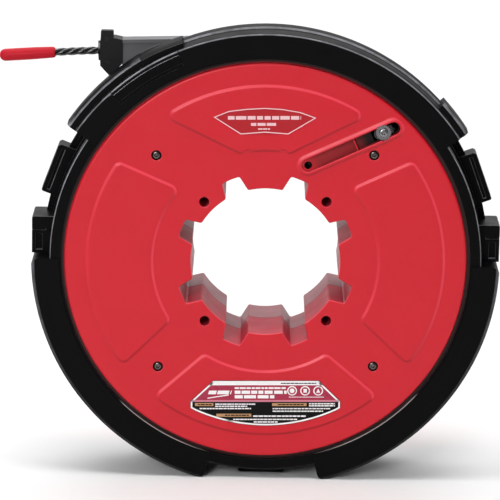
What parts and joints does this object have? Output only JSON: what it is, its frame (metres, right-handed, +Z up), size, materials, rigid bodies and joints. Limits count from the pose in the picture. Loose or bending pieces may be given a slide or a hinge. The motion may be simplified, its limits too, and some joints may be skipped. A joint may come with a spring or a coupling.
{
  "type": "fish tape reel",
  "caption": "Drum cartridge of twisted fish tape turning in a round guarded housing, with a splined hub opening and a side nozzle where the capped tape comes out.",
  "frame": {"origin": "bottom centre of the box of the reel without its tape end: on the floor between the two feet, at mid depth", "axes": "+Z up, +Y from the front face to the back along the drum axis, +X to the right seen from the front; the tape leaves towards -X"},
  "size_m": [0.3856, 0.0956, 0.3503],
  "materials": {
    "drum_red": "satin moulded",
    "housing_black": "satin moulded",
    "guard_rubber": "satin, finely textured",
    "blackened_steel": "blackened",
    "steel": "plated",
    "tape_strand": "glossy strand",
    "cap_vinyl": "soft vinyl",
    "spec_print": "pad printed",
    "sticker": "laminated film"
  },
  "bodies": {
    "housing": {"ring_front_shell": "housing_black", "ring_rear_shell": "housing_black", "ring_screws": "steel", "guard_top": "guard_rubber", "guard_lower_left": "guard_rubber", "guard_lower_right": "guard_rubber", "saddle_cover": "housing_black", "nozzle_front_half": "housing_black", "nozzle_rear_half": "housing_black", "nozzle_end_plate": "housing_black", "nozzle_bushing": "steel", "nozzle_screws": "blackened_steel", "side_lug_left": "housing_black", "side_lug_right": "housing_black", "side_catch_left": "housing_black", "side_catch_right": "housing_black", "bottom_tab": "housing_black"},
    "drum": {"drum_front_half": "drum_red", "drum_rear_half": "drum_red", "drum_screws": "blackened_steel", "hub_screws": "blackened_steel", "anchor_clamp": "steel", "anchor_washer": "steel", "anchor_screw": "steel", "tape_coil": "tape_strand", "spec_label": "spec_print", "warning_label": "sticker"},
    "tape_end": {"tape_lead": "tape_strand", "tape_free_end": "tape_strand", "tape_tip_fitting": "steel"},
    "cap": {"tip_cap": "cap_vinyl"}
  },
  "joints": [
    {"name": "drum_spin", "type": "hinge", "parent": "housing", "child": "drum", "pos_m": [0, 0, 0.171], "axis": [0, 1, 0], "continuous": true},
    {"name": "tape_feed", "type": "slide", "parent": "housing", "child": "tape_end", "axis": [-0.9993, 0, -0.0384], "range_m": [-0.033, 0.06]},
    {"name": "cap_pull", "type": "slide", "parent": "tape_end", "child": "cap", "axis": [-0.9971, 0, -0.0767], "range_m": [0, 0.045]}
  ]
}
